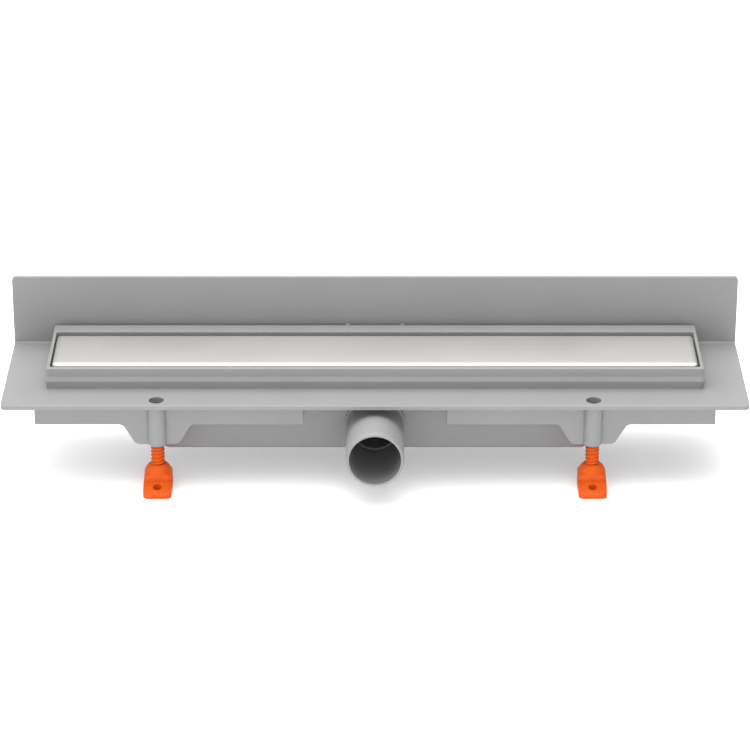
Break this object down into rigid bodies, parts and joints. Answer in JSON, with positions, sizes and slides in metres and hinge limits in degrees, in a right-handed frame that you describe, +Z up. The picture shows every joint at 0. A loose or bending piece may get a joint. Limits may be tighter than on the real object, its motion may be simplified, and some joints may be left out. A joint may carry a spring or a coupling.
{
  "type": "linear shower drain",
  "caption": "Linear shower drain for the foot of a wall, with an upstand, a solid cover plate in a raised collar, a trap, a side outlet and screw feet.",
  "frame": {"origin": "on the floor under the feet, halfway along the drain and halfway between the outlet's mouth and the upstand's back", "axes": "+X along the drain, +Y towards the wall, +Z up"},
  "size_m": [0.64, 0.1714, 0.1443],
  "materials": {
    "body_plastic": "mid-grey moulded plastic, fine matt surface",
    "cover_steel": "stainless sheet, brushed along its length",
    "bracket_steel": "plain stainless strip",
    "pad_rubber": "black rubber",
    "trap_plastic": "dark grey moulded plastic",
    "strainer_plastic": "grey moulded plastic",
    "seal_rubber": "black rubber",
    "foot_plastic": "orange moulded plastic, satin gloss"
  },
  "bodies": {
    "drain": {"drain_body": "body_plastic", "cover_plate": "cover_steel", "cover_bracket_1": "bracket_steel", "cover_bracket_2": "bracket_steel", "cover_bracket_3": "bracket_steel", "cover_bracket_4": "bracket_steel", "cover_pad_1": "pad_rubber", "cover_pad_2": "pad_rubber", "cover_pad_3": "pad_rubber", "cover_pad_4": "pad_rubber", "cover_pad_5": "pad_rubber", "cover_pad_6": "pad_rubber", "cover_pad_7": "pad_rubber", "cover_pad_8": "pad_rubber", "trap_housing": "trap_plastic", "outlet_seal": "seal_rubber", "baffle_seal": "seal_rubber", "trap_baffle": "trap_plastic", "hair_strainer": "strainer_plastic"},
    "foot_left": {"foot_left": "foot_plastic"},
    "spindle_left": {"spindle_left": "foot_plastic"},
    "foot_right": {"foot_right": "foot_plastic"},
    "spindle_right": {"spindle_right": "foot_plastic"}
  },
  "joints": [
    {"name": "left_foot_height", "type": "slide", "parent": "drain", "child": "foot_left", "axis": [0, 0, 1], "range_m": [-0.015, 0.0145]},
    {"name": "left_spindle_turn", "type": "hinge", "parent": "foot_left", "child": "spindle_left", "pos_m": [-0.1872, -0.03935, 0.041], "axis": [0, 0, 1], "range_deg": [-1545, 1545]},
    {"name": "right_foot_height", "type": "slide", "parent": "drain", "child": "foot_right", "axis": [0, 0, 1], "range_m": [-0.015, 0.0145]},
    {"name": "right_spindle_turn", "type": "hinge", "parent": "foot_right", "child": "spindle_right", "pos_m": [0.1872, -0.03935, 0.041], "axis": [0, 0, 1], "range_deg": [-1545, 1545]}
  ],
  "couplings": [
    {"joint": "left_spindle_turn", "follows": "left_foot_height", "rad_per_m": 1795.2},
    {"joint": "right_spindle_turn", "follows": "right_foot_height", "rad_per_m": 1795.2}
  ]
}
